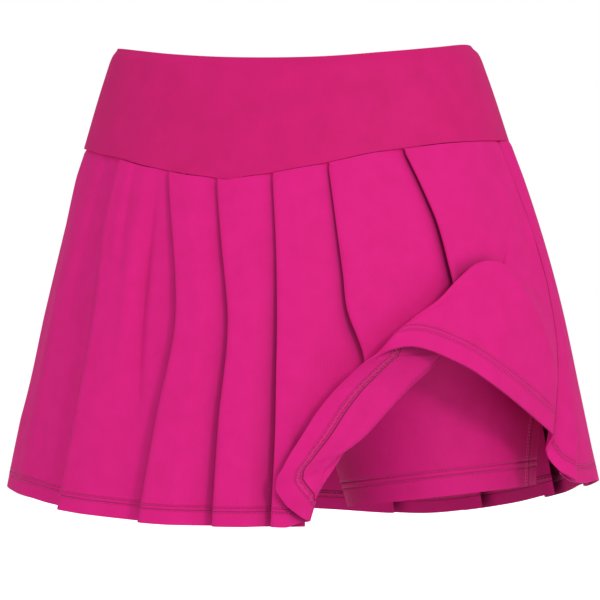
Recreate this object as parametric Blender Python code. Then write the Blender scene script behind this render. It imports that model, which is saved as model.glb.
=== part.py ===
"""Pleated sports skort, worn shape, with the wearer's left front hem lifted and flipped.

The garment is built from its sewn pieces: one waistband loop, a knife-pleated skirt front and
back, and four panels of inner shorts. Each piece is one closed wall of cloth.

Frame: metres, +Z up, the front faces -Y and the wearer's left is +X. The origin is the centre
of the waist opening, level with the band's top edge at the sides.

A place on the garment is given as (angle, drop, out):
  angle  degrees round the body from the centre front, positive towards the wearer's left,
  drop   millimetres below the origin,
  out    millimetres outside the smooth body form, square to it.
"""
import math

import bpy
import numpy as np

# ---------------------------------------------------------------- driving sizes, millimetres
MM = 0.001
SKIRT_WALL = 1.1
SHORTS_WALL = 1.0
BAND_WALL = 2.4
BAND_OUT = 0.6
SEAM_GAP = 0.3
SHORTS_OUT = -1.75
SHORTS_DRAW_IN = 2.5        # the shorts lie that much closer to the body below the band
LAYER_STEP = 1.6            # between the middles of two pressed layers of a pleat
POINT_EASE = 0.45           # extra room below the point of the band's V

PINK = (0.72, 0.012, 0.20)
BAND_PINK = (0.56, 0.008, 0.155)
INNER_PINK = (0.62, 0.010, 0.17)

# Smooth body form that the cloth hangs on: half width and half depth of its oval by drop.
FORM = [
    # drop, half_width, half_depth
    (0, 134.4, 96.9),
    (65, 156.3, 113),
    (92, 166, 120.5),
    (137, 179.5, 131.5),
    (188, 192.5, 142),
    (236, 202.5, 150.5),
    (313, 218.5, 163),
    (345, 225, 168),
]

# The band's top edge, a little higher on the wearer's right, where it was pulled up.
BAND_TOP = [
    # angle from the centre front, drop
    (-90, -4.6), (-70, -4.2), (-52, -2.6), (-40, -0.3), (-25, 2.8), (-1, 6.5), (25, 7.1), (48, 4.1),
    (70, 1), (90, -1.3), (112, 1), (135, 6), (160, 10), (180, 11.5), (200, 11), (225, 8), (250, 1),
    (270, -4.6),
]

# The band's lower edge: a shallow V at the front, a softer one at the back.
BAND_SEAM = [
    # angle from centre front, drop
    (0, 92), (6, 89.7), (12, 87.6), (18, 84.6), (26, 81), (37, 75), (46, 72.3), (60, 68.8),
    (75, 67.3), (90, 67), (120, 70), (150, 78), (170, 83), (180, 84),
]

# The skirt's hem where it hangs freely.
HEM = [
    # angle, drop
    (-90, 309.5), (-75, 310), (-59, 312.3), (-47, 316), (-34, 322), (-20, 327.3), (-10, 330.4),
    (2, 332), (12, 332.3), (45, 331), (75, 314), (90, 309.5), (113, 311), (131, 319.5),
    (152, 332), (174, 341), (190, 338.5), (230, 329), (255, 315), (270, 309.5),
]

# How far down the cloth each row of a pleated piece lies, 0 at the band and 1 at the hem.
ROWS = (0, 0.1, 0.2, 0.3, 0.4, 0.48, 0.56, 0.6, 0.64, 0.7, 0.76, 0.81, 0.86, 0.93, 1.0)
BACK_ROWS = (0, 0.1, 0.3, 0.48, 0.6, 0.7, 0.81, 0.93, 1.0)
PLEAT_LEVELS = (0, 0.2, 0.4, 0.7, 1.0)

# Knife pleats of the front: the outer fold's angle at the five levels, how far the fold
# stands off the form at the hem, the depth of the underlay at band and hem, in degrees,
# and how many lines of cloth the panel after the fold is given.
FRONT_PLEATS = [
    # name, angles at PLEAT_LEVELS, stand at hem, underlay at band, at hem, panel lines
    ("a", (-35.1, -34.1, -31.6, -31.7, -32.9), 10.5, 4.4, 6.0, 5),
    ("b", (-16.5, -11.8, -8.8, -10.8, -12.6), 11.5, 4.4, 6.0, 3),
    ("c", (-2.5, 0.5, 3.0, 2.3, 2.0), 10.5, 4.2, 5.5, 2),
    ("d", (11.7, 13.0, 13.5, 13.6, 12.7), 10.0, 4.2, 5.5, 5),
    ("e", (25.7, 27.1, 28.3, 28.2, 25.0), 9.5, 5.0, 6.0, 4),
    ("f", (46.4, 52.1, 53.6, 55.0, 56.0), 9.0, 5.0, 6.0, 7),
]

# Knife pleats of the back. They are laid the other way, so their angles run backwards.
BACK_PLEATS = [
    # name, angles at PLEAT_LEVELS, stand at hem, underlay at band, at hem, panel lines
    ("g", (-246, -247, -247.5, -247, -246.5), 10.0, 4.4, 6.0, 3),
    ("h", (-226, -227, -228, -227, -226.5), 11.0, 4.4, 6.0, 2),
    ("i", (-206, -206.5, -207.5, -207, -206), 10.0, 4.4, 6.0, 2),
    ("j", (-186, -186, -186, -185.5, -184.8), 10.5, 4.4, 6.0, 2),
    ("k", (-165, -164.5, -164, -164.5, -165), 10.0, 4.4, 6.0, 2),
    ("l", (-143, -142, -141, -142, -143), 9.0, 4.4, 6.0, 2),
    ("m", (-123, -123, -123, -124, -125), 6.4, 4.4, 6.0, 3),
    ("n", (-97.5, -96.6, -96.2, -92.8, -82.4), 6.0, 3.0, 3.6, 1),
]

# Long soft waves in the panels that are not pressed.
SOFT_WAVES = [
    # angle at band, angle at hem, height (minus is a trough), half width in degrees, from, to
    (-80, -79, 0.8, 5.0, 0.2, 1.3),
    (-67, -66, -4.4, 11.0, 0.08, 0.8),
    (-52, -51, 2.6, 5.0, 0.1, 1.2),
    (-44, -41, -2.4, 2.5, -0.1, 0.6),
    (-31.5, -25.0, -2.6, 2.6, -0.1, 0.5),
    (-24, -19.5, 1.6, 2.2, -0.1, 0.5),
    (-21, -16.5, -2.6, 2.0, 0.05, 0.75),
    (62, 60, 1.6, 5.0, -0.1, 0.6),
    (76, 74, -1.5, 5.0, 0.0, 0.6),
]

# The lifted front hem. Lines of cloth are numbered by their distance along the hem from the
# fold of pleat d, in millimetres; the side seam is the last. Going down such a line the cloth
# turns forward at the turn line, shows its wrong side, turns back at the ridge and ends at
# the hem.
FIRST_LIFTED_LINE = 18.0
LINE_AT_CORNER = 27.0       # the line that runs down the fold to the hem's fold corner
LINE_OF_HEM_PEAK = 192.0    # where the ridge runs out into the hem
LINE_OF_SIDE_SEAM = 346.0
TURN_LINE = [
    # line, angle, drop, out
    (18, 18.2, 318, 6.6), (23, 19.5, 317.4, 6.0), (25.6, 20.05, 317.2, 5.7), (27, 20.4, 317, 6.6),
    (28.4, 20.5, 315.8, 9), (34, 20.9, 312, 9.25), (45, 21.4, 307.8, 9.6), (62, 21.7, 302.5, 11.1),
    (75, 21.4, 297.5, 10.6), (88, 23.6, 290, 11), (97, 24.7, 285, 11.5), (106, 26.2, 281.4, 12),
    (120, 29.5, 273, 12),
    (140, 34.5, 255.5, 12), (160, 40, 236.2, 12), (175, 43.8, 224.8, 12.5), (192, 47.7, 214.3, 13),
    (215, 52, 207.7, 14), (235, 56, 201, 14.5), (255, 60.1, 191, 14), (275, 64.6, 177, 12),
    (292, 69.1, 158.3, 7.8), (308, 73.7, 167, 7), (325, 79.5, 170.3, 5.9), (346, 87.1, 191, 6.8),
]
RIDGE_LINE = [
    # line, angle, drop, out
    (192, 32.3, 219, 31.6), (200, 34.8, 209.2, 31.5), (215, 38.8, 195.2, 30),
    (232, 43.8, 184.6, 25.2), (250, 49.8, 172.4, 20.6), (262, 54, 161.6, 17.8), (276, 59.5, 152.3, 15.6),
    (290, 65.9, 149.7, 15.4), (308, 71.3, 164.6, 16.2), (325, 77.2, 203.5, 13.9), (346, 81.3, 235, 8.5),
]
LIFTED_HEM = [
    # line, angle, drop, out
    (18, 17.4, 330.2, 6.6), (23, 18.6, 329, 5.4), (25.6, 19.2, 328.5, 7.3), (27, 19.5, 328.2, 7.6),
    (28.4, 19.2, 327.8, 9.1), (34, 18.3, 325.6, 11), (45, 17.1, 321.7, 13.1),
    (62, 15.4, 315.5, 14.5), (75, 14.3, 309.9, 15.5), (88, 14.1, 304.4, 17), (97, 14.4, 298.2, 19),
    (104, 15.2, 293.4, 19.5), (113, 16.6, 283.2, 18.5), (127, 19.2, 268.2, 19),
    (144, 22, 252.5, 21), (161, 25.5, 237.5, 24), (178, 29, 225.3, 28.6), (192, 32.3, 216.4, 33.2),
    (205, 35.2, 211.6, 36.6), (222, 38.6, 208.6, 37.4), (240, 42.5, 210.6, 35.4),
    (258, 46.7, 216.6, 32.4), (275, 51, 224, 31.1), (300, 57.8, 239.4, 26.3), (325, 66.6, 257.3, 15),
    (346, 75.4, 273.6, 9),
]
# Where the lifted cloth lies next to its two folds: how far along, and how far off, millimetres.
TURN_TUCK, TURN_LEAD, TURN_LEAD_OUT = 2.6, 0.045, 1.4
RIDGE_LEAD, RIDGE_LEAD_OUT, RIDGE_TAIL, RIDGE_TAIL_OUT = 0.14, 2.4, 0.08, 1.5
EVEN_SHARES = (0.20, 0.36, 0.52, 0.68, 0.84, 1.0)
BUNCHED_SHARES = (0.40, 0.80, 0.86, 0.91, 0.955, 1.0)
# How much of its usual height the straight part above the two folds keeps.
TOP_SQUEEZE = [
    # line, share
    (27, 1), (209, 1), (235, 0.96), (260, 0.85), (285, 0.72), (308, 0.69), (328, 0.75),
    (346, 0.88),
]
# How far the lines sway towards the side seam between the straight part and the turn line.
PANEL_SWAY = [
    # line, degrees a third of the way down it, degrees just above the turn line
    (0, 0, 0), (30, 0.5, 0.3), (44, 1.8, 1.8), (53, 3.3, 2.3), (57, 3.8, 2.4), (70, 3.3, 2.9),
    (88, 4.8, 3.2), (106, 2, 2.9), (150, 1.8, 1.2), (158, 2.7, 1.8), (175, 1.8, 1.2),
    (190, 0.9, 0.6), (240, 0, 0), (346, 0, 0),
]
LEFT_SIDE_SEAM = [
    # how far down, angle, drop, out
    (0, 89.4, 67, 0.2), (0.18, 89.2, 103.4, 2.5), (0.31, 90, 132, 4), (0.48, 89.3, 166.6, 5.5),
    (0.62, 86.6, 195.4, 7), (0.72, 84.4, 216.4, 8), (0.88, 79, 249.6, 9), (1, 75.4, 273.6, 9),
]
# The back's hem rolls in behind that corner, then falls to its first fold.
ROLLED_STRIP_HEM = [
    # share of the strip from the side seam, angle, drop, out
    (0, 75.4, 273.6, 9), (0.25, 75.3, 283, -1.5), (0.5, 77.2, 296.5, 0), (0.78, 79.8, 301.5, 2.5),
    (1, 82.4, 306.5, 5),
]

# Inner shorts: one leg's oval by drop. Above the crotch the panels follow the body form.
CROTCH_DROP = 255.0
LEG_HEM_DROP = 327.0
LEG_HEM_RISE = 15.0         # the leg's hem is that much higher at the side seam
LEAVE_HIP_DROP = 118.0      # from here down to the crotch the panels turn from hip to leg
CENTRE_SEAM_TURN = 45.0     # over that height above the crotch the centre seam becomes the inseam
LEG_OVALS = [
    # drop, centre_x, centre_y, half_width, front_depth, back_depth
    (200, 86, 6, 85.8, 110, 112),
    (236, 87.2, 8.4, 86.2, 95, 101),
    (255, 88.8, 9, 87.6, 88, 96),
    (285, 99.0, 10, 74, 79, 82),
    (327, 104.5, 13, 65.3, 73, 76),
]
SHORTS_ROWS = (0, 0.15, 0.32, 0.46, 0.58, 0.68, 0.78, 0.86, 0.93, 1.0)
SHORTS_LINES = 12


# ---------------------------------------------------------------- curves through short tables
def read_curve(table, at):
    """The table's other columns at one value of its first column, on a smooth curve."""
    rows = np.array(table, float)
    keys, values = rows[:, 0], rows[:, 1:]
    at = min(max(at, keys[0]), keys[-1])
    i = int(np.clip(np.searchsorted(keys, at) - 1, 0, len(keys) - 2))
    slopes = np.gradient(values, keys, axis=0)
    step = keys[i + 1] - keys[i]
    t = (at - keys[i]) / step
    return ((2 * t**3 - 3 * t**2 + 1) * values[i] + (t**3 - 2 * t**2 + t) * step * slopes[i]
            + (3 * t**2 - 2 * t**3) * values[i + 1] + (t**3 - t**2) * step * slopes[i + 1])


def ease(low, high, value):
    """0 below low, 1 above high, and a soft step between them."""
    t = min(max((value - low) / (high - low), 0.0), 1.0)
    return t * t * (3 - 2 * t)


def body_point(angle, drop, out):
    """A place on the garment as x, y, z in millimetres."""
    half_width, half_depth = read_curve(FORM, drop)
    s, c = math.sin(math.radians(angle)), math.cos(math.radians(angle))
    square = np.array([half_depth * s, -half_width * c])
    square /= np.linalg.norm(square)
    return np.array([half_width * s + out * square[0], -half_depth * c + out * square[1], -drop])


def body_normal(angle, drop):
    """The direction square to the form there, level with the floor."""
    return body_point(angle, drop, 1.0) - body_point(angle, drop, 0.0)


def round_angle(angle):
    """How far an angle is from the centre front, 0 to 180 degrees."""
    return abs((angle + 180.0) % 360.0 - 180.0)


def band_seam_drop(angle):
    return read_curve(BAND_SEAM, round_angle(angle))[0]


def panel_top_drop(angle):
    """The top edge of a skirt or shorts panel. It is eased where the seam comes to a point."""
    return band_seam_drop(angle) + SEAM_GAP + POINT_EASE * math.exp(-(angle / 5.0) ** 2)


def band_top_drop(angle):
    return read_curve(BAND_TOP, (angle + 90.0) % 360.0 - 90.0)[0]


def hem_drop(angle):
    return read_curve(HEM, (angle + 90.0) % 360.0 - 90.0)[0]


def half_gap_angle(drop):
    """Half the gap of a side seam, as an angle."""
    return math.degrees(0.5 * SEAM_GAP / read_curve(FORM, drop)[1])


# ---------------------------------------------------------------- walls of cloth
def surface_normals(grid):
    """Unit normals of a grid of points [line][row], on its right side."""
    across = np.gradient(grid, axis=0)
    down = np.gradient(grid, axis=1)
    normals = np.cross(down, across)
    return normals / np.linalg.norm(normals, axis=2, keepdims=True)


def wall_mesh(name, grid, wall, closed=False, edge_normals=None):
    """Give a grid of points its thickness and close it all round.

    edge_normals is the pair of normal columns for the first and the last line, so that the
    ends of two pieces that are sewn together stay parallel.
    """
    if closed:
        wrapped = np.concatenate([grid[-1:], grid, grid[:1]], axis=0)
        normals = surface_normals(wrapped)[1:-1]
    else:
        normals = surface_normals(grid)
        if edge_normals is not None:
            normals[0], normals[-1] = edge_normals
    outer = grid + normals * wall / 2
    inner = grid - normals * wall / 2
    lines, rows = grid.shape[:2]
    points = np.concatenate([outer.reshape(-1, 3), inner.reshape(-1, 3)]) * MM

    def at(side, line, row):
        return side * lines * rows + (line % lines) * rows + row

    faces = []
    for line in range(lines if closed else lines - 1):
        for row in range(rows - 1):
            for side in (0, 1):                 # both skins are split along the same diagonal
                a, b = at(side, line, row), at(side, line + 1, row)
                c, d = at(side, line + 1, row + 1), at(side, line, row + 1)
                faces += [(b, c, d), (b, d, a)] if side else [(d, c, b), (a, d, b)]
        for row, turn in ((0, 1), (rows - 1, -1)):
            rim = (at(0, line, row), at(0, line + 1, row), at(1, line + 1, row), at(1, line, row))
            faces.append(rim[::turn])
    if not closed:
        for line, turn in ((0, -1), (lines - 1, 1)):
            for row in range(rows - 1):
                rim = (at(0, line, row), at(0, line, row + 1), at(1, line, row + 1), at(1, line, row))
                faces.append(rim[::turn])
    mesh = bpy.data.meshes.new(name)
    mesh.from_pydata([tuple(p) for p in points], [], faces)
    mesh.validate()
    mesh.update()
    return mesh


def cloth_material(name, colour, roughness):
    material = bpy.data.materials.new(name)
    material.use_nodes = True
    shader = material.node_tree.nodes["Principled BSDF"]
    shader.inputs["Base Color"].default_value = (*colour, 1.0)
    shader.inputs["Roughness"].default_value = roughness
    shader.inputs["Metallic"].default_value = 0.0
    return material


def add_piece(mesh, material):
    mesh.shade_smooth()
    mesh.set_sharp_from_angle(angle=math.radians(50))
    piece = bpy.data.objects.new(mesh.name, mesh)
    piece.data.materials.append(material)
    bpy.context.scene.collection.objects.link(piece)
    return piece


# ---------------------------------------------------------------- knife pleats
def pleat_angle(pleat, down):
    return read_curve(list(zip(PLEAT_LEVELS, pleat[1])), down)[0]


def soft_wave(angle, down):
    """Height of the long waves at a place on an unpressed panel."""
    total = 0.0
    for at_band, at_hem, height, width, start, end in SOFT_WAVES:
        centre = at_band + (at_hem - at_band) * down
        reach = math.sin(math.pi * min(max((down - start) / (end - start), 0.0), 1.0))
        total += height * reach * math.exp(-((angle - centre) / width) ** 2)
    return total


def fold_lines(pleat):
    """The nine lines of cloth that lie over each other at a knife pleat.

    Each is (share of the underlay across, height at the band, height at the hem). They run
    along the low layer to the inner fold, back to the outer fold, and out along the top.
    """
    stand = pleat[2]
    mid, top = LAYER_STEP, 2 * LAYER_STEP
    return [
        (0.30, 0.0, 0.0),
        (0.86, 0.0, 0.0),
        (1.00, 0.5 * mid, 1.2),
        (0.86, mid, 2.6),
        (0.18, mid, stand - 3.4),
        (0.00, 1.5 * mid, stand - 1.5),
        (0.18, top, stand),
        (0.55, top, 0.96 * stand),
        (1.10, top, 0.86 * stand),
    ]


def pleated_lines(pleats, lead_lines):
    """Every line of cloth of a pleated piece.

    A line is (pleat index, kind, share): an underlay line of that pleat, or a panel line that
    lies at that share of the way to the next fold. Index -1 is the panel before the first.
    """
    lines = [(-1, "panel", i / lead_lines) for i in range(lead_lines)]
    for index, pleat in enumerate(pleats):
        lines += [(index, "fold", k) for k in range(len(fold_lines(pleat)))]
        count = pleat[5]
        lines += [(index, "panel", (i + 1) / (count + 1)) for i in range(count)]
    lines.append((len(pleats) - 1, "panel", 1.0))
    return lines


def place_on_pleats(pleats, first_angle, last_angle, line, down):
    """(angle, out) of a line of cloth, how far down it."""
    index, kind, share = line
    start = first_angle(down) if index < 0 else pleat_angle(pleats[index], down)
    last = index + 1 == len(pleats)
    end = last_angle(down) if last else pleat_angle(pleats[index + 1], down)
    if index < 0:
        rise = 2.0 * ease(0.6, 1.0, down) * math.sin(math.pi * share) ** 2
        angle = start + (end - start) * share
        return angle, rise + soft_wave(angle, down)
    pleat = pleats[index]
    underlay = pleat[3] + (pleat[4] - pleat[3]) * down
    if kind == "fold":
        across, at_band, at_hem = fold_lines(pleat)[share]
        height = at_band + (at_hem - at_band) * ease(-0.35, 1.15, down)
        return start + across * underlay, height
    shelf = fold_lines(pleat)[-1]
    begin = start + shelf[0] * underlay
    height = shelf[1] + (shelf[2] - shelf[1]) * ease(-0.35, 1.15, down)
    foot = 0.9 if not last else 0.4 + 2.0 * ease(0, 0.8, down)
    angle = begin + (end - begin) * share
    fade = ease(1.0, 0.8, share) if not last else 1.0
    return angle, foot + (height - foot) * (1 - share) ** 1.15 + soft_wave(angle, down) * fade


# ---------------------------------------------------------------- the lifted front hem
def along_hem(pleats, lines):
    """Number the lines right of pleat d by their distance along the lifted hem."""
    d_fold = next(i for i, pleat in enumerate(pleats) if pleat[0] == "d")
    next_in = {"e": 150.0, "f": LINE_OF_SIDE_SEAM}
    corner_lines = (23.0, 25.6, LINE_AT_CORNER, 28.4, 34.0)
    folds = {
        "d": (-30, -22, -20, -18, -2, 0, 3, 9, FIRST_LIFTED_LINE),
        "e": (44, 53, 55, 57, 84, 88, 92, 97, 106),
        "f": (150, 158, 160, 162, 186, 190, 194, 200, 209),
    }
    numbers = []
    for index, kind, share in lines:
        if index < d_fold:
            numbers.append(None)
            continue
        name = pleats[index][0]
        if kind == "fold":
            numbers.append(folds[name][share])
        elif name == "d":
            numbers.append(corner_lines[round(share * (len(corner_lines) + 1)) - 1])
        else:
            start = folds[name][-1]
            numbers.append(start + (next_in[name] - start) * share)
    return numbers


def lifted_rows(number, hanging):
    """Move the lower rows of one hanging line of cloth to where the lift has taken them.

    hanging is the list of (angle, drop, out) of the line as it would hang.
    """
    keys = [(v, *p) for v, p in zip(ROWS, hanging)]
    squeeze = read_curve(TOP_SQUEEZE, number)[0]
    top = 4                                     # the last row that the lift leaves alone
    rows = [read_curve(keys, v * squeeze) if row <= top else None for row, v in enumerate(ROWS)]
    turn = read_curve(TURN_LINE, number)
    end = read_curve(LIFTED_HEM, number)
    if number >= LINE_OF_HEM_PEAK:
        ridge = read_curve(RIDGE_LINE, number)
    else:
        ridge = end
    start = rows[top]
    if number >= LINE_OF_HEM_PEAK:              # how sharply the two folds are pressed
        pressed = ease(-6, 26, turn[1] - ridge[1]) if number > 240 else 1.0
    else:
        pressed = ease(26.5, 31, number)
    for row, share, sway in zip((5, 6), (0.36, 0.80), read_curve(PANEL_SWAY, number)):
        rows[row] = start + (turn - start) * share
        rows[row][0] += sway
        rows[row][2] = start[2] + (turn[2] - TURN_TUCK * pressed - start[2]) * share ** 2
    near = TURN_LEAD + 0.30 * (1 - pressed) * (number > LINE_OF_HEM_PEAK)
    rows[7] = turn
    rows[8] = turn + (ridge - turn) * near
    rows[8][2] += TURN_LEAD_OUT * pressed
    if number >= LINE_OF_HEM_PEAK:
        opening = ease(LINE_OF_HEM_PEAK, 215, number)
        rows[9] = turn + (ridge - turn) * 0.50
        rows[9][2] -= 1.0 * pressed
        rows[10] = ridge + (turn - ridge) * (RIDGE_LEAD + 0.16 * (1 - pressed))
        rows[10][2] -= RIDGE_LEAD_OUT * pressed * opening
        rows[11] = ridge
        rows[12] = ridge + (end - ridge) * RIDGE_TAIL
        rows[12][2] += RIDGE_TAIL_OUT * opening * pressed
        rows[13] = ridge + (end - ridge) * 0.58
        rows[14] = end
    else:
        mix = ease(130, LINE_OF_HEM_PEAK, number)
        belly = 2.5 * ease(LINE_AT_CORNER, 60, number) * ease(LINE_OF_HEM_PEAK, 150, number)
        for row, a, b in zip(range(9, 15), EVEN_SHARES, BUNCHED_SHARES):
            share = a + (b - a) * mix
            rows[row] = turn + (end - turn) * share
            rows[row][2] += belly * math.sin(math.pi * share)
    return rows


def hanging_rows(number, hanging):
    """Crowd the lower rows of a line that hangs straight towards the hem's fold corner."""
    crowd = ease(-4, FIRST_LIFTED_LINE, number)
    rows = [np.array(p, float) for p in hanging]
    first, last = 5, len(rows) - 1
    even = ROWS[first:]
    squeezed = (0.60, 0.87) + tuple(0.953 + 0.047 * i / (last - 7) for i in range(last - 6))
    keys = [(v, *p) for v, p in zip(ROWS, hanging)]
    for row in range(first, last + 1):
        v = even[row - first] + (squeezed[row - first] - even[row - first]) * crowd
        rows[row] = read_curve(keys, v)
    return rows


def left_seam_line(side):
    """The lifted side seam's edge at the back's rows, with normals that both pieces share.

    side is -1 for the front's edge and 1 for the back's.
    """
    points, normals = [], []
    for down in BACK_ROWS:
        angle, drop, out = read_curve(LEFT_SIDE_SEAM, down)
        lower = SEAM_GAP if down == 0 else 0.0
        points.append(body_point(angle + side * half_gap_angle(drop), drop + lower, out))
        normals.append(body_normal(angle, drop))
    return points, normals


def edge_on_chords(values, down):
    """A value on the straight chords between the back's rows, so that the edges run together."""
    return np.array([np.interp(down, BACK_ROWS, column) for column in np.array(values).T])


def skirt_front_grid():
    def right_seam(down):
        drop = band_seam_drop(-90) + down * (hem_drop(-90) - band_seam_drop(-90))
        return -90 + half_gap_angle(drop)

    def left_seam(down):
        return 89.5

    lines = pleated_lines(FRONT_PLEATS, 10)
    numbers = along_hem(FRONT_PLEATS, lines)
    grid = []
    for line, number in zip(lines, numbers):
        hanging = []
        for down in ROWS:
            angle, out = place_on_pleats(FRONT_PLEATS, right_seam, left_seam, line, down)
            top = panel_top_drop(place_on_pleats(FRONT_PLEATS, right_seam, left_seam, line, 0)[0])
            drop = top + (hem_drop(angle) - top) * down
            hanging.append((angle, drop, out))
        if number is not None and number >= FIRST_LIFTED_LINE:
            hanging = lifted_rows(number, hanging)
        elif number is not None and number > 0:
            hanging = hanging_rows(number, hanging)
        grid.append([body_point(*place) for place in hanging])
    edge, edge_normals = left_seam_line(-1)
    grid[-1] = [edge_on_chords(edge, down) for down in ROWS]
    left_normals = [edge_on_chords(edge_normals, down) for down in ROWS]
    return np.array(grid), ([body_normal(-90, 0)] * len(ROWS), left_normals)


def skirt_back_grid():
    """Built backwards round the body, then turned round so that it runs with the angle."""
    def right_seam(down):
        drop = band_seam_drop(-90) + down * (hem_drop(-90) - band_seam_drop(-90))
        return -270 + half_gap_angle(drop)

    def left_seam(down):
        return -read_curve(LEFT_SIDE_SEAM, down)[0]

    strip = len(BACK_PLEATS) - 1
    lines = pleated_lines(BACK_PLEATS, 4)
    hem_shares = {("fold", 6): 0.97, ("fold", 7): 0.80, ("fold", 8): 0.62}
    grid = []
    for line in lines:
        index, kind, share = line
        column = []
        for down in BACK_ROWS:
            angle, out = place_on_pleats(BACK_PLEATS, right_seam, left_seam, line, down)
            top = panel_top_drop(-place_on_pleats(BACK_PLEATS, right_seam, left_seam, line, 0)[0])
            drop = top + (hem_drop(-angle) - top) * down
            place = np.array([-angle, drop, out])
            if index == strip:
                place = lifted_strip_place(line, down, place, hem_shares)
            column.append(body_point(*place))
        grid.append(column)
    grid[-1], edge_normals = left_seam_line(1)
    return np.array(grid)[::-1], (edge_normals, [body_normal(270, 0)] * len(BACK_ROWS))


def lifted_strip_place(line, down, place, hem_shares):
    """The narrow strip beside the lifted side seam: its hem is drawn up and rolls inwards."""
    index, kind, share = line
    fold_share = {0: 0.98, 1: 0.80, 2: 0.74, 3: 0.80, 4: 0.97, 5: 1.0}
    if kind == "panel":
        strip_share = 0.62 * (1 - share)
    else:
        strip_share = hem_shares.get((kind, share), fold_share.get(share, 1.0))
    angle, drop, out = read_curve(ROLLED_STRIP_HEM, strip_share)
    under = {0: -5.2, 1: -4.6, 2: -3.4, 3: -2.2, 4: -1.9, 5: -0.9}.get(share, 0.0)
    if kind == "fold":
        out += under
    lifted = np.array([angle, drop, out])
    seam_angle, seam_drop, seam_out = read_curve(LEFT_SIDE_SEAM, down)
    pull = ease(0.25, 1.0, down)
    near_seam = 1 - strip_share
    straight = place.copy()
    straight[1] += (seam_drop - straight[1]) * near_seam * ease(0.1, 0.6, down)
    straight[2] += (seam_out - straight[2]) * near_seam * ease(0.1, 0.6, down)
    return straight + (lifted - straight) * pull ** 1.6


# ---------------------------------------------------------------- waistband and shorts
def waistband_grid():
    turns, rows = 60, 5
    grid = []
    for i in range(turns):
        angle = 360.0 * i / turns
        top, seam = band_top_drop(angle), band_seam_drop(angle)
        column = []
        for row in range(rows):
            share = row / (rows - 1)
            bulge = 0.8 * math.sin(math.pi * share)
            column.append(body_point(angle, top + (seam - top) * share, BAND_OUT + bulge))
        grid.append(column)
    return np.array(grid)


def shorts_grid(side, face):
    """One shorts panel, from the centre seam and inseam round to the side seam.

    side is 1 for the wearer's left leg and -1 for the right, face is 1 for the front panel
    and -1 for the back. The panel is worked out for the left leg and mirrored.
    """
    grid, turns = [], []
    for i in range(SHORTS_LINES):
        share = i / (SHORTS_LINES - 1)
        centre = 0 if face > 0 else 180
        angle = centre + face * 90 * share
        top = panel_top_drop(angle)
        hem = LEG_HEM_DROP - LEG_HEM_RISE * ease(0, 1, share)
        column = []
        for down in SHORTS_ROWS:
            drop = top + (hem - top) * down
            hip = body_point(angle, drop, SHORTS_OUT - SHORTS_DRAW_IN * ease(0, 0.25, down))
            centre_x, centre_y, half_width, front, back = read_curve(LEG_OVALS, drop)
            turn = math.pi * share
            depth = front if face > 0 else back
            leg = np.array([centre_x - half_width * math.cos(turn),
                            centre_y - face * depth * math.sin(turn), -drop])
            mix = ease(LEAVE_HIP_DROP, CROTCH_DROP, drop)
            point = hip + (leg - hip) * mix
            turned = ease(CROTCH_DROP - CENTRE_SEAM_TURN, CROTCH_DROP, drop)
            if i == 0:
                point[0] = max(point[0], 0.5 * SEAM_GAP + 0.5 * SHORTS_WALL * turned)
                point[1] -= face * 0.5 * SEAM_GAP * turned
            if i == SHORTS_LINES - 1:
                point[1] -= face * 0.5 * SEAM_GAP
            column.append(point * (side, 1, 1))
            turns.append(turned)
        grid.append(column)
    grid = np.array(grid)
    flipped = side * face < 0
    if flipped:
        grid = grid[::-1]
    centre_end = surface_normals(grid)[-1 if flipped else 0]
    centre_end[:, 0] *= turns[:len(SHORTS_ROWS)]
    centre_end /= np.linalg.norm(centre_end, axis=1, keepdims=True)
    side_end = np.tile((float(side), 0.0, 0.0), (len(SHORTS_ROWS), 1))
    return grid, ((side_end, centre_end) if flipped else (centre_end, side_end))


# ---------------------------------------------------------------- the garment
def build():
    for old in list(bpy.data.objects):
        bpy.data.objects.remove(old, do_unlink=True)

    skirt_cloth = cloth_material("skirt interlock knit, magenta", PINK, 0.62)
    band_cloth = cloth_material("waistband interlock knit, deep magenta", BAND_PINK, 0.58)
    shorts_cloth = cloth_material("shorts interlock knit, magenta", INNER_PINK, 0.62)

    add_piece(wall_mesh("waistband", waistband_grid(), BAND_WALL, closed=True), band_cloth)

    grid, ends = skirt_front_grid()
    add_piece(wall_mesh("skirt_front", grid, SKIRT_WALL, edge_normals=ends), skirt_cloth)
    grid, ends = skirt_back_grid()
    add_piece(wall_mesh("skirt_back", grid, SKIRT_WALL, edge_normals=ends), skirt_cloth)

    for side, side_name in ((1, "left"), (-1, "right")):
        for face, face_name in ((1, "front"), (-1, "back")):
            name = f"shorts_{side_name}_{face_name}"
            grid, ends = shorts_grid(side, face)
            add_piece(wall_mesh(name, grid, SHORTS_WALL, edge_normals=ends), shorts_cloth)


build()
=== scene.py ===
# %% [markdown]
# # A pleated sports skort, worn shape
# A skort is a pair of stretch shorts and a short skirt sewn into one wide waistband. This one has
# a V-edged waistband, a knife-pleated skirt and plain shorts. Its left front hem is lifted and
# flipped over, so that the wrong side and the shorts show.
# Everything is in one frame: metres, +Z up, the front faces -Y and the wearer's left is +X.

# %% Load the solids
import math

import bpy
import numpy as np
from mathutils import Matrix, Vector


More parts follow.
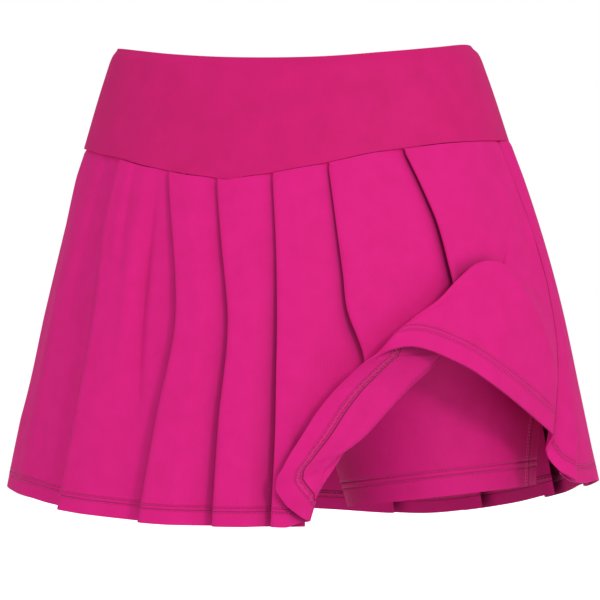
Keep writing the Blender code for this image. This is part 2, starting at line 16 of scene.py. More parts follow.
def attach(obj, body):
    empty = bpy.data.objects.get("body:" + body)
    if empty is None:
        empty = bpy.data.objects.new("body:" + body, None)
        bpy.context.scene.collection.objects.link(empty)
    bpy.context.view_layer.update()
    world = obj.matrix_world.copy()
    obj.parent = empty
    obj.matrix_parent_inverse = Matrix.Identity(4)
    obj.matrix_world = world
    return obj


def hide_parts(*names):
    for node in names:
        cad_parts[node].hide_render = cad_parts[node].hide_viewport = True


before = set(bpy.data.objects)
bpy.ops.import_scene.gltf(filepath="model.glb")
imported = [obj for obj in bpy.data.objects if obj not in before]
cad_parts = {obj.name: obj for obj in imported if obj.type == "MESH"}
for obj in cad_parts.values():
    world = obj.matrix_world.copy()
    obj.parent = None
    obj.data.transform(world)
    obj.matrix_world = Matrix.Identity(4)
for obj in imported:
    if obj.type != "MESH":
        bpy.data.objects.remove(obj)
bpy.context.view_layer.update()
print("solids:", sorted(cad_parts))


# %% [markdown]
# ## Colours and small helpers
# Colours are picked as sRGB hex values, the way a swatch book gives them. Blender's shaders want
# linear light, so one function turns every hex value. Two more make a material and add a node.

# %% Colour and material helpers
def colour(hex_value):
    """A linear RGBA colour from an sRGB hex value."""
    channels = [int(hex_value[i:i + 2], 16) / 255 for i in (1, 3, 5)]
    return (*[c / 12.92 if c <= 0.04045 else ((c + 0.055) / 1.055) ** 2.4 for c in channels], 1.0)


def new_material(name, settings):
    """A material with those inputs of its shader set: the material and the shader."""
    material = bpy.data.materials.new(name)
    material.use_nodes = True
    shader = material.node_tree.nodes["Principled BSDF"]
    for socket, value in settings.items():
        shader.inputs[socket].default_value = value
    return material, shader


def add_node(tree, kind, settings=None, links=None):
    """Add a node, set its properties and inputs, and link its inputs from other nodes' outputs."""
    node = tree.nodes.new("ShaderNode" + kind)
    for key, value in (settings or {}).items():
        if isinstance(key, str) and hasattr(node, key):
            setattr(node, key, value)
        else:
            node.inputs[key].default_value = value
    for key, source in (links or {}).items():
        tree.links.new(source, node.inputs[key])
    return node


# %% [markdown]
# ## Camera
# The skort is seen from its front left at about its own height, from far enough away that the
# pleats hardly converge. A long lens does the same in a studio.

# %% Camera
TURN, TILT, ROLL = [math.radians(degrees) for degrees in (23.0, 0.8, 0.8)]
FAR = 4.0                       # metres from the skort
PICTURE_WIDTH = 0.432           # metres across the picture, at the skort
AIM_DROP, AIM_ASIDE = 0.1786, 0.002
SENSOR_WIDTH = 36
back = Vector((math.sin(TURN) * math.cos(TILT), -math.cos(TURN) * math.cos(TILT), math.sin(TILT)))
right = Vector((math.cos(TURN), math.sin(TURN), 0))
up = back.cross(right)
rolled_right = right * math.cos(ROLL) - up * math.sin(ROLL)
rolled_up = up * math.cos(ROLL) + right * math.sin(ROLL)
aim = Vector((0, 0, -AIM_DROP)) + right * AIM_ASIDE
placed = Matrix((rolled_right, rolled_up, back)).transposed().to_4x4()
placed.translation = aim + back * FAR
lens = bpy.data.cameras.new("camera")
lens.sensor_width = SENSOR_WIDTH
lens.lens = SENSOR_WIDTH * FAR / PICTURE_WIDTH
camera = bpy.data.objects.new("camera", lens)
camera.matrix_world = placed
bpy.context.scene.collection.objects.link(camera)
bpy.context.scene.camera = camera
print("camera", round(lens.lens), "mm lens,", FAR, "m away")


# %% [markdown]
# ## Floor and light
# A plain pale floor under a plain white surround, a soft key light at the upper right and a
# weaker, wider fill at the left. The surround itself lights more from above, the front and the
# right, so the pleats' far sides fall off without a hard shadow.

# %% Floor and light
def soft_light(name, place, aim_at, size, watts):
    bpy.ops.object.light_add(type="AREA", location=place)
    light = bpy.context.object
    light.name = name
    light.data.shape = "DISK"
    light.data.size = size
    light.data.energy = watts
    light.rotation_euler = (Vector(place) - Vector(aim_at)).to_track_quat("Z", "Y").to_euler()


FLOOR_RADIUS, FLOOR_DROP = 14, 1.0      # the skort hangs well above the floor, as when worn

bpy.ops.object.select_all(action="DESELECT")
bpy.ops.mesh.primitive_circle_add(vertices=96, radius=FLOOR_RADIUS, fill_type="NGON",
                                  location=(0, 0, -FLOOR_DROP))
floor = bpy.context.object
floor.name = "floor"
bpy.ops.object.transform_apply(location=True, rotation=True, scale=True)
paper, _ = new_material("matt white studio paper", {
    "Base Color": colour("#FBFBFB"), "Roughness": 0.9,
    "Emission Color": colour("#FFFFFF"), "Emission Strength": 0.72})
floor.visible_diffuse = False      # the skort is lit from below by the surround alone
floor.data.materials.append(paper)

BRIGHT_SIDE = (0.56, -0.66, 0.50)       # towards where the surround lights most
DIM, BRIGHT = 0.14, 0.98                # how much it lights from the far side and from there

world = bpy.data.worlds.new("white surround")
world.use_nodes = True
tree = world.node_tree
seen = add_node(tree, "LightPath")
way = add_node(tree, "TexCoord")
towards = add_node(tree, "VectorMath", {"operation": "DOT_PRODUCT", 1: BRIGHT_SIDE},
                   {0: way.outputs["Generated"]})
glow = add_node(tree, "MapRange", {"From Min": -1.0, "To Min": DIM, "To Max": BRIGHT},
                {"Value": towards.outputs["Value"]})
strength = add_node(tree, "Mix", {"B": 1.0},        # it is white wherever it is seen
                    {"Factor": seen.outputs["Is Camera Ray"], "A": glow.outputs["Result"]})
background = tree.nodes["Background"]
background.inputs["Color"].default_value = colour("#FFFFFF")
tree.links.new(strength.outputs["Result"], background.inputs["Strength"])
bpy.context.scene.world = world
soft_light("key", place=(3.4, -2.9, 1.2), aim_at=(0.02, 0, -0.15), size=0.7, watts=52)
soft_light("fill", place=(-3.2, -2.6, 0.3), aim_at=(0, 0, -0.2), size=1.6, watts=22)
bpy.context.scene.view_settings.view_transform = "Standard"


# %% [markdown]
# ## The form that the cloth hangs on
# Worn cloth follows a smooth body form. A place on the garment is (angle, drop, out): degrees
# round the body from the centre front, positive towards the wearer's left; millimetres below the
# waist opening; and millimetres outside the form, square to it. The tables give the form's oval,
# the band's V-shaped lower edge and the skirt's hem. They are the same named values as those that
# the solids are built from.

# %% Form, band edge and hem
MM = 0.001
SEAM_GAP = 0.3
BAND_OUT = 0.6
SHORTS_OUT = -1.75
LAYER_STEP = 1.6            # between the middles of two pressed layers of a pleat

FORM = [
    # drop, half_width, half_depth
    (0, 134.4, 96.9),
    (65, 156.3, 113),
    (92, 166, 120.5),
    (137, 179.5, 131.5),
    (188, 192.5, 142),
    (236, 202.5, 150.5),
    (313, 218.5, 163),
    (345, 225, 168),
]

# The band's top edge, a little higher on the wearer's right, where it was pulled up.
BAND_TOP = [
    # angle from the centre front, drop
    (-90, -4.6), (-70, -4.2), (-52, -2.6), (-40, -0.3), (-25, 2.8), (-1, 6.5), (25, 7.1), (48, 4.1),
    (70, 1), (90, -1.3), (112, 1), (135, 6), (160, 10), (180, 11.5), (200, 11), (225, 8), (250, 1),
    (270, -4.6),
]

# The band's lower edge: a shallow V at the front, a softer one at the back.
BAND_SEAM = [
    # angle from centre front, drop
    (0, 92), (6, 89.7), (12, 87.6), (18, 84.6), (26, 81), (37, 75), (46, 72.3), (60, 68.8),
    (75, 67.3), (90, 67), (120, 70), (150, 78), (170, 83), (180, 84),
]

# The skirt's hem where it hangs freely.
HEM = [
    # angle, drop
    (-90, 309.5), (-75, 310), (-59, 312.3), (-47, 316), (-34, 322), (-20, 327.3), (-10, 330.4),
    (2, 332), (12, 332.3), (45, 331), (75, 314), (90, 309.5), (113, 311), (131, 319.5),
    (152, 332), (174, 341), (190, 338.5), (230, 329), (255, 315), (270, 309.5),
]


def read_curve(table, at):
    """The table's other columns at one value of its first column, on a smooth curve."""
    rows = np.array(table, float)
    keys, values = rows[:, 0], rows[:, 1:]
    at = min(max(at, keys[0]), keys[-1])
    i = int(np.clip(np.searchsorted(keys, at) - 1, 0, len(keys) - 2))
    slopes = np.gradient(values, keys, axis=0)
    step = keys[i + 1] - keys[i]
    t = (at - keys[i]) / step
    return ((2 * t**3 - 3 * t**2 + 1) * values[i] + (t**3 - 2 * t**2 + t) * step * slopes[i]
            + (3 * t**2 - 2 * t**3) * values[i + 1] + (t**3 - t**2) * step * slopes[i + 1])


def ease(low, high, value):
    """0 below low, 1 above high, and a soft step between them."""
    t = min(max((value - low) / (high - low), 0.0), 1.0)
    return t * t * (3 - 2 * t)


def body_point(angle, drop, out):
    """A place on the garment as x, y, z in millimetres."""
    half_width, half_depth = read_curve(FORM, drop)
    s, c = math.sin(math.radians(angle)), math.cos(math.radians(angle))
    square = np.array([half_depth * s, -half_width * c])
    square /= np.linalg.norm(square)
    return np.array([half_width * s + out * square[0], -half_depth * c + out * square[1], -drop])


def round_angle(angle):
    """How far an angle is from the centre front, 0 to 180 degrees."""
    return abs((angle + 180.0) % 360.0 - 180.0)


def band_seam_drop(angle):
    return read_curve(BAND_SEAM, round_angle(angle))[0]


def panel_top_drop(angle):
    """The top edge of a skirt or shorts panel, just under the band."""
    return band_seam_drop(angle) + 0.5 * SEAM_GAP


def band_top_drop(angle):
    return read_curve(BAND_TOP, (angle + 90.0) % 360.0 - 90.0)[0]


def hem_drop(angle):
    return read_curve(HEM, (angle + 90.0) % 360.0 - 90.0)[0]


def half_gap_angle(drop):
    """Half the gap of a side seam, as an angle."""
    return math.degrees(0.5 * SEAM_GAP / read_curve(FORM, drop)[1])


print("hem half way round the front:", round(hem_drop(0)), "mm below the waist")


# %% [markdown]
# ## Knife pleats
# A knife pleat is a double fold pressed to one side, so three layers of cloth lie over each other
# and only the outer fold shows. Nine lines of cloth draw it: along the low layer, round the hidden
# inner fold, back along the middle layer, round the outer fold and out over the top. The tables
# say where each outer fold runs from band to hem. The back's pleats are laid the other way.

# %% Pleat tables
ROWS = (0, 0.1, 0.2, 0.3, 0.4, 0.48, 0.56, 0.6, 0.64, 0.7, 0.76, 0.81, 0.86, 0.93, 1.0)
BACK_ROWS = (0, 0.1, 0.3, 0.48, 0.6, 0.7, 0.81, 0.93, 1.0)
PLEAT_LEVELS = (0, 0.2, 0.4, 0.7, 1.0)

# Knife pleats of the front: the outer fold's angle at the five levels, how far the fold
# stands off the form at the hem, the depth of the underlay at band and hem, in degrees,
# and how many lines of cloth the panel after the fold is given.
FRONT_PLEATS = [
    # name, angles at PLEAT_LEVELS, stand at hem, underlay at band, at hem, panel lines
    ("a", (-35.1, -34.1, -31.6, -31.7, -32.9), 10.5, 4.4, 6.0, 5),
    ("b", (-16.5, -11.8, -8.8, -10.8, -12.6), 11.5, 4.4, 6.0, 3),
    ("c", (-2.5, 0.5, 3.0, 2.3, 2.0), 10.5, 4.2, 5.5, 2),
    ("d", (11.7, 13.0, 13.5, 13.6, 12.7), 10.0, 4.2, 5.5, 5),
    ("e", (25.7, 27.1, 28.3, 28.2, 25.0), 9.5, 5.0, 6.0, 4),
    ("f", (46.4, 52.1, 53.6, 55.0, 56.0), 9.0, 5.0, 6.0, 7),
]

# Knife pleats of the back. They are laid the other way, so their angles run backwards.
BACK_PLEATS = [
    # name, angles at PLEAT_LEVELS, stand at hem, underlay at band, at hem, panel lines
    ("g", (-246, -247, -247.5, -247, -246.5), 10.0, 4.4, 6.0, 3),
    ("h", (-226, -227, -228, -227, -226.5), 11.0, 4.4, 6.0, 2),
    ("i", (-206, -206.5, -207.5, -207, -206), 10.0, 4.4, 6.0, 2),
    ("j", (-186, -186, -186, -185.5, -184.8), 10.5, 4.4, 6.0, 2),
    ("k", (-165, -164.5, -164, -164.5, -165), 10.0, 4.4, 6.0, 2),
    ("l", (-143, -142, -141, -142, -143), 9.0, 4.4, 6.0, 2),
    ("m", (-123, -123, -123, -124, -125), 6.4, 4.4, 6.0, 3),
    ("n", (-97.5, -96.6, -96.2, -92.8, -82.4), 6.0, 3.0, 3.6, 1),
]


def pleat_angle(pleat, down):
    return read_curve(list(zip(PLEAT_LEVELS, pleat[1])), down)[0]


def fold_lines(pleat):
    """The nine lines of cloth that lie over each other at a knife pleat.

    Each is (share of the underlay across, height at the band, height at the hem). They run
    along the low layer to the inner fold, back to the outer fold, and out along the top.
    """
    stand = pleat[2]
    mid, top = LAYER_STEP, 2 * LAYER_STEP
    return [
        (0.30, 0.0, -2.4),
        (0.86, 0.0, -1.8),
        (1.00, 0.5 * mid, -0.4),
        (0.86, mid, 1.2),
        (0.11, mid, stand - 3.2),
        (0.00, 1.5 * mid, stand - 1.5),
        (0.11, top, stand),
        (0.55, top, 0.96 * stand),
        (1.10, top, 0.86 * stand),
    ]


def pleated_lines(pleats, lead_lines):
    """Every line of cloth of a pleated piece.

    A line is (pleat index, kind, share): an underlay line of that pleat, or a panel line that
    lies at that share of the way to the next fold. Index -1 is the panel before the first.
    """
    lines = [(-1, "panel", i / lead_lines) for i in range(lead_lines)]
    for index, pleat in enumerate(pleats):
        lines += [(index, "fold", k) for k in range(len(fold_lines(pleat)))]
        count = pleat[5]
        lines += [(index, "panel", (i + 1) / (count + 1)) for i in range(count)]
    lines.append((len(pleats) - 1, "panel", 1.0))
    return lines


def place_on_pleats(pleats, first_angle, last_angle, line, down):
    """(angle, out, how much it waves) of a line of cloth, how far down it."""
    index, kind, share = line
    start = first_angle(down) if index < 0 else pleat_angle(pleats[index], down)
    last = index + 1 == len(pleats)
    end = last_angle(down) if last else pleat_angle(pleats[index + 1], down)
    if index < 0:
        rise = 2.0 * ease(0.6, 1.0, down) * math.sin(math.pi * share) ** 2
        return start + (end - start) * share, rise, ease(1.05, 0.9, share)
    pleat = pleats[index]
    underlay = pleat[3] + (pleat[4] - pleat[3]) * down
    if kind == "fold":
        across, at_band, at_hem = fold_lines(pleat)[share]
        return start + across * underlay, at_band + (at_hem - at_band) * ease(-0.35, 1.15, down), 0.0
    shelf = fold_lines(pleat)[-1]
    begin = start + shelf[0] * underlay
    height = shelf[1] + (shelf[2] - shelf[1]) * ease(-0.35, 1.15, down)
    angle = begin + (end - begin) * share
    if last:
        foot, fade = 0.4 + 2.0 * ease(0, 0.8, down), 1.0
    else:
        foot, fade = 0.4 - 2.2 * ease(0.05, 1.0, down), ease(1.0, 0.8, share)
    return angle, foot + (height - foot) * (1 - share) ** 1.15, fade


print(len(FRONT_PLEATS), "front pleats,", len(BACK_PLEATS), "back pleats")


# %% [markdown]
# ## The lifted hem
# The wearer's left part of the front hem is drawn up and flipped over: going down the cloth, it
# turns forward at one fold, shows its wrong side, turns back at a second fold and ends at the hem.
# Lines of cloth are numbered by their distance along the hem, in millimetres, from pleat d's fold.

# %% Lifted hem tables
FIRST_LIFTED_LINE = 18.0
LINE_AT_CORNER = 27.0       # the line that runs down the fold to the hem's fold corner
LINE_OF_HEM_PEAK = 192.0    # where the ridge runs out into the hem
LINE_OF_SIDE_SEAM = 346.0
TURN_LINE = [
    # line, angle, drop, out
    (18, 18.2, 318, 6.6), (23, 19.5, 317.4, 6.0), (25.6, 20.05, 317.2, 5.7), (27, 20.4, 317, 6.6),
    (28.4, 20.5, 315.8, 9), (34, 20.9, 312, 9.25), (45, 21.4, 307.8, 9.6), (62, 21.7, 302.5, 11.1),
    (75, 21.4, 297.5, 10.6), (88, 23.6, 290, 11), (97, 24.7, 285, 11.5), (106, 26.2, 281.4, 12),
    (120, 29.5, 273, 12),
    (140, 34.5, 255.5, 12), (160, 40, 236.2, 12), (175, 43.8, 224.8, 12.5), (192, 47.7, 214.3, 13),
    (215, 52, 207.7, 14), (235, 56, 201, 14.5), (255, 60.1, 191, 14), (275, 64.6, 177, 12),
    (292, 69.1, 158.3, 7.8), (308, 73.7, 167, 7), (325, 79.5, 170.3, 5.9), (346, 87.1, 191, 6.8),
]
RIDGE_LINE = [
    # line, angle, drop, out
    (192, 32.3, 219, 31.6), (200, 34.8, 209.2, 31.5), (215, 38.8, 195.2, 30),
    (232, 43.8, 184.6, 25.2), (250, 49.8, 172.4, 20.6), (262, 54, 161.6, 17.8),
    (276, 59.5, 152.3, 15.6), (290, 65.9, 149.7, 15.4), (308, 71.3, 164.6, 16.2),
    (325, 77.2, 203.5, 13.9), (346, 81.3, 235, 8.5),
]
LIFTED_HEM = [
    # line, angle, drop, out
    (18, 17.4, 330.2, 6.6), (23, 18.6, 329, 5.4), (25.6, 19.2, 328.5, 7.3), (27, 19.5, 328.2, 7.6),
    (28.4, 19.2, 327.8, 9.1), (34, 18.3, 325.6, 11), (45, 17.1, 321.7, 13.1),
    (62, 15.4, 315.5, 14.5), (75, 14.3, 309.9, 15.5), (88, 14.1, 304.4, 17), (97, 14.4, 298.2, 19),
    (104, 15.2, 293.4, 19.5), (113, 16.6, 283.2, 18.5), (127, 19.2, 268.2, 19),
    (144, 22, 252.5, 21), (161, 25.5, 237.5, 24), (178, 29, 225.3, 28.6), (192, 32.3, 216.4, 33.2),
    (205, 35.2, 211.6, 36.6), (222, 38.6, 208.6, 37.4), (240, 42.5, 210.6, 35.4),
    (258, 46.7, 216.6, 32.4), (275, 51, 224, 31.1), (300, 57.8, 239.4, 26.3), (325, 66.6, 257.3, 15),
    (346, 75.4, 273.6, 9),
]
# Where the lifted cloth lies next to its two folds: how far along, and how far off, millimetres.
TURN_TUCK, TURN_LEAD, TURN_LEAD_OUT = 2.6, 0.045, 1.4
RIDGE_LEAD, RIDGE_LEAD_OUT, RIDGE_TAIL, RIDGE_TAIL_OUT = 0.14, 2.4, 0.08, 1.5
EVEN_SHARES = (0.20, 0.36, 0.52, 0.68, 0.84, 1.0)
BUNCHED_SHARES = (0.40, 0.80, 0.86, 0.91, 0.955, 1.0)
# How much of its usual height the straight part above the two folds keeps.
TOP_SQUEEZE = [
    # line, share
    (27, 1), (209, 1), (235, 0.96), (260, 0.85), (285, 0.72), (308, 0.69), (328, 0.75),
    (346, 0.88),
]
# How far the lines sway towards the side seam between the straight part and the turn line.
PANEL_SWAY = [
    # line, degrees a third of the way down it, degrees just above the turn line
    (0, 0, 0), (30, 0.5, 0.3), (44, 1.8, 1.8), (53, 3.3, 2.3), (57, 3.8, 2.4), (70, 3.3, 2.9),
    (88, 4.8, 3.2), (106, 2, 2.9), (150, 1.8, 1.2), (158, 2.7, 1.8), (175, 1.8, 1.2),
    (190, 0.9, 0.6), (240, 0, 0), (346, 0, 0),
]
LEFT_SIDE_SEAM = [
    # how far down, angle, drop, out
    (0, 89.4, 67, 0.2), (0.18, 89.2, 103.4, 2.5), (0.31, 90, 132, 4), (0.48, 89.3, 166.6, 5.5),
    (0.62, 86.6, 195.4, 7), (0.72, 84.4, 216.4, 8), (0.88, 79, 249.6, 9), (1, 75.4, 273.6, 9),
]
# The back's hem rolls in behind that corner, then falls to its first fold. The nine lines of the
# narrow pleat there lie at these shares of the strip, and this far off its rolled hem.
STRIP_FOLDS = [
    # share of the strip from the side seam, out
    (0.98, -5.2), (0.80, -4.6), (0.74, -3.4), (0.80, -2.2), (0.97, -1.9), (1.0, -0.9), (0.97, 0),
    (0.80, 0), (0.62, 0),
]
ROLLED_STRIP_HEM = [
    # share of the strip from the side seam, angle, drop, out
    (0, 75.4, 273.6, 9), (0.25, 75.3, 283, -1.5), (0.5, 77.2, 296.5, 0), (0.78, 79.8, 301.5, 2.5),
    (1, 82.4, 306.5, 5),
]


def along_hem(pleats, lines):
    """Number the lines right of pleat d by their distance along the lifted hem."""
    d_fold = next(i for i, pleat in enumerate(pleats) if pleat[0] == "d")
    next_in = {"e": 150.0, "f": LINE_OF_SIDE_SEAM}
    corner_lines = (23.0, 25.6, LINE_AT_CORNER, 28.4, 34.0)
    folds = {
        "d": (-30, -22, -20, -18, -2, 0, 3, 9, FIRST_LIFTED_LINE),
        "e": (44, 53, 55, 57, 84, 88, 92, 97, 106),
        "f": (150, 158, 160, 162, 186, 190, 194, 200, 209),
    }
    numbers = []
    for index, kind, share in lines:
        if index < d_fold:
            numbers.append(None)
            continue
        name = pleats[index][0]
        if kind == "fold":
            numbers.append(folds[name][share])
        elif name == "d":
            numbers.append(corner_lines[round(share * (len(corner_lines) + 1)) - 1])
        else:
            start = folds[name][-1]
            numbers.append(start + (next_in[name] - start) * share)
    return numbers


def lifted_rows(number, hanging):
    """Move the lower rows of one hanging line of cloth to where the lift has taken them.

    hanging is the list of (angle, drop, out) of the line as it would hang.
    """
    keys = [(v, *p) for v, p in zip(ROWS, hanging)]
    squeeze = read_curve(TOP_SQUEEZE, number)[0]
    top = 4                                     # the last row that the lift leaves alone
    rows = [read_curve(keys, v * squeeze) if row <= top else None for row, v in enumerate(ROWS)]
    turn = read_curve(TURN_LINE, number)
    end = read_curve(LIFTED_HEM, number)
    if number >= LINE_OF_HEM_PEAK:
        ridge = read_curve(RIDGE_LINE, number)
        pressed = ease(-6, 26, turn[1] - ridge[1]) if number > 240 else 1.0
    else:
        ridge = end
        pressed = ease(26.5, 31, number)        # how sharply the two folds are pressed
    start = rows[top]
    for row, share, sway in zip((5, 6), (0.36, 0.80), read_curve(PANEL_SWAY, number)):
        rows[row] = start + (turn - start) * share
        rows[row][0] += sway
        rows[row][2] = start[2] + (turn[2] - TURN_TUCK * pressed - start[2]) * share ** 2
    near = TURN_LEAD + 0.30 * (1 - pressed) * (number > LINE_OF_HEM_PEAK)
    rows[7] = turn
    rows[8] = turn + (ridge - turn) * near
    rows[8][2] += TURN_LEAD_OUT * pressed
    if number >= LINE_OF_HEM_PEAK:
        opening = ease(LINE_OF_HEM_PEAK, 215, number)
        rows[9] = turn + (ridge - turn) * 0.50
        rows[9][2] -= 1.0 * pressed
        rows[10] = ridge + (turn - ridge) * (RIDGE_LEAD + 0.16 * (1 - pressed))
        rows[10][2] -= RIDGE_LEAD_OUT * pressed * opening
        rows[11] = ridge
        rows[12] = ridge + (end - ridge) * RIDGE_TAIL
        rows[12][2] += RIDGE_TAIL_OUT * opening * pressed
        rows[13] = ridge + (end - ridge) * 0.58
        rows[14] = end
    else:
        mix = ease(130, LINE_OF_HEM_PEAK, number)
        belly = 2.5 * ease(LINE_AT_CORNER, 60, number) * ease(LINE_OF_HEM_PEAK, 150, number)
        for row, a, b in zip(range(9, 15), EVEN_SHARES, BUNCHED_SHARES):
            share = a + (b - a) * mix
            rows[row] = turn + (end - turn) * share
            rows[row][2] += belly * math.sin(math.pi * share)
    return rows


def hanging_rows(number, hanging):
    """Crowd the lower rows of a line that hangs straight towards the hem's fold corner."""
    crowd = ease(-4, FIRST_LIFTED_LINE, number)
    rows = [np.array(p, float) for p in hanging]
    first, last = 5, len(rows) - 1
    even = ROWS[first:]
    squeezed = (0.60, 0.87) + tuple(0.953 + 0.047 * i / (last - 7) for i in range(last - 6))
    keys = [(v, *p) for v, p in zip(ROWS, hanging)]
    for row in range(first, last + 1):
        v = even[row - first] + (squeezed[row - first] - even[row - first]) * crowd
        rows[row] = read_curve(keys, v)
    return rows


def left_seam_line(side):
    """The lifted side seam's edge at the back's rows: side is -1 for the front's, 1 for the back's."""
    points = []
    for down in BACK_ROWS:
        angle, drop, out = read_curve(LEFT_SIDE_SEAM, down)
        lower = SEAM_GAP if down == 0 else 0.0
        points.append(body_point(angle + side * half_gap_angle(drop), drop + lower, out))
    return points


def edge_on_chords(values, down):
    """A value on the straight chords between the back's rows, so that the edges run together."""
    return np.array([np.interp(down, BACK_ROWS, column) for column in np.array(values).T])


def lifted_strip_place(line, down, place):
    """The narrow strip beside the lifted side seam: its hem is drawn up and rolls inwards."""
    _, kind, share = line
    if kind == "fold":
        strip_share, under = STRIP_FOLDS[share]
    else:
        strip_share, under = STRIP_FOLDS[-1][0] * (1 - share), 0
    lifted = read_curve(ROLLED_STRIP_HEM, strip_share) + (0, 0, under)
    _, seam_drop, seam_out = read_curve(LEFT_SIDE_SEAM, down)
    pull = ease(0.25, 1.0, down)
    near_seam = 1 - strip_share
    taken_up = ease(0.1, 0.6, down)
    straight = place.copy()
    straight[1] += (seam_drop - straight[1]) * near_seam * taken_up
    straight[2] += (seam_out - straight[2]) * near_seam * taken_up
    return straight + (lifted - straight) * pull ** 1.6


# %% [markdown]
# ## Control grids
# Each piece of cloth starts as a coarse grid of points, [line][row], that holds its shape. Every
# point also carries its angle, how far down the cloth it is and how freely it waves there, so
# that fine waves and creases can be added once the grid has been made finer.

# %% Skirt control grids
NO_NUMBER = -100.0          # the number of every line that the lift leaves alone
FRONT_END = 89.5            # the angle that the front's last panel is laid out to
FRONT_LEAD_LINES, BACK_LEAD_LINES = 10, 4       # lines of cloth before the first pleat


def right_seam_half_gap(down):
    top = band_seam_drop(-90)
    return half_gap_angle(top + down * (hem_drop(-90) - top))


def skirt_front_control():
    def right_seam(down):
        return -90 + right_seam_half_gap(down)

    def left_seam(down):
        return FRONT_END

    lines = pleated_lines(FRONT_PLEATS, FRONT_LEAD_LINES)
    numbers = along_hem(FRONT_PLEATS, lines)
    grid = []
    for line, number in zip(lines, numbers):
        top = panel_top_drop(place_on_pleats(FRONT_PLEATS, right_seam, left_seam, line, 0)[0])
        hanging, extra = [], []
        for down in ROWS:
            angle, out, waves = place_on_pleats(FRONT_PLEATS, right_seam, left_seam, line, down)
            hanging.append((angle, top + (hem_drop(angle) - top) * down, out))
            extra.append((angle, down, waves, NO_NUMBER if number is None else number))
        if number is not None and number >= FIRST_LIFTED_LINE:
            places = lifted_rows(number, hanging)
            extra = [(a, d, w * ease(6, 4, row), n) for row, (a, d, w, n) in enumerate(extra)]
        elif number is not None and number > 0:
            places = hanging_rows(number, hanging)
        else:
            places = hanging
        grid.append([(*body_point(*place), *more) for place, more in zip(places, extra)])
    grid = np.array(grid)
    edge = left_seam_line(-1)
    grid[-1, :, :3] = [edge_on_chords(edge, down) for down in ROWS]
    return grid


def skirt_back_control():
    def right_seam(down):
        return -270 + right_seam_half_gap(down)

    def left_seam(down):
        return -read_curve(LEFT_SIDE_SEAM, down)[0]

    strip = len(BACK_PLEATS) - 1
    grid = []
    for line in pleated_lines(BACK_PLEATS, BACK_LEAD_LINES):
        top = panel_top_drop(-place_on_pleats(BACK_PLEATS, right_seam, left_seam, line, 0)[0])
        column = []
        for down in BACK_ROWS:
            angle, out, waves = place_on_pleats(BACK_PLEATS, right_seam, left_seam, line, down)
            place = np.array([-angle, top + (hem_drop(-angle) - top) * down, out])
            if line[0] == strip:
                place = lifted_strip_place(line, down, place)
                waves = 0.0
            column.append((*body_point(*place), -angle, down, waves, NO_NUMBER))
        grid.append(column)
    grid = np.array(grid)
    grid[-1, :, :3] = left_seam_line(1)
    return grid[::-1]


# %% [markdown]
# ## Making a grid finer
# A curve through the control points, with knots spaced by the root of their distance, runs
# smoothly through both wide panels and folds a millimetre across without a loop. Long spans get
# more steps than short ones, so the folds cost few faces.

# %% Finer grids
def between(low, high, at, a, b):
    """On the straight line that runs from a, where at is low, to b, where at is high."""
    return (high - at) / (high - low) * a + (at - low) / (high - low) * b


def through_points(points, steps, closed=False):
    """Smooth curves along the first axis of points, with that many steps in each span."""
    count = len(points)
    if closed:
        ring = np.concatenate([points[-1:], points, points[:2]])
    else:
        ring = np.concatenate([2 * points[:1] - points[1:2], points, 2 * points[-1:] - points[-2:-1]])
    fine = []
    for i, step in zip(range(count if closed else count - 1), steps):
        p = ring[i:i + 4]
        gaps = np.maximum(np.linalg.norm(np.diff(p[..., :3], axis=0), axis=-1), 1e-3) ** 0.5
        t0 = np.zeros_like(gaps[0])
        t1, t2, t3 = t0 + gaps[0], t0 + gaps[0] + gaps[1], t0 + gaps.sum(axis=0)
        t0, t1, t2, t3 = (t[..., None] for t in (t0, t1, t2, t3))
        for s in range(step):
            t = t1 + (t2 - t1) * s / step
            a1 = between(t0, t1, t, p[0], p[1])
            a2 = between(t1, t2, t, p[1], p[2])
            a3 = between(t2, t3, t, p[2], p[3])
            b1, b2 = between(t0, t2, t, a1, a2), between(t1, t3, t, a2, a3)
            fine.append(between(t1, t2, t, b1, b2))
    if not closed:
        fine.append(points[-1])
    return np.array(fine)


STEP_LENGTH, MOST_STEPS = 2.8, 8    # millimetres, and steps in one span


def span_steps(points, closed=False):
    """How many steps each span along the first axis needs, for steps of about one length."""
    ends = np.concatenate([points, points[:1]]) if closed else points
    longest = np.linalg.norm(np.diff(ends[..., :3], axis=0), axis=-1).max(axis=1)
    return [int(min(max(round(gap / STEP_LENGTH), 2), MOST_STEPS)) for gap in longest]


def finer(control, closed=False):
    rows = control.transpose(1, 0, 2)
    rows = through_points(rows, span_steps(rows))
    lines = rows.transpose(1, 0, 2)
    return through_points(lines, span_steps(lines, closed), closed)


# %% [markdown]
# ## Waves and creases
# Knit cloth that is gathered into a band falls in long soft waves. Each wave is a low ridge or
# trough that runs from a place at the band to a place at the hem and fades at both ends.

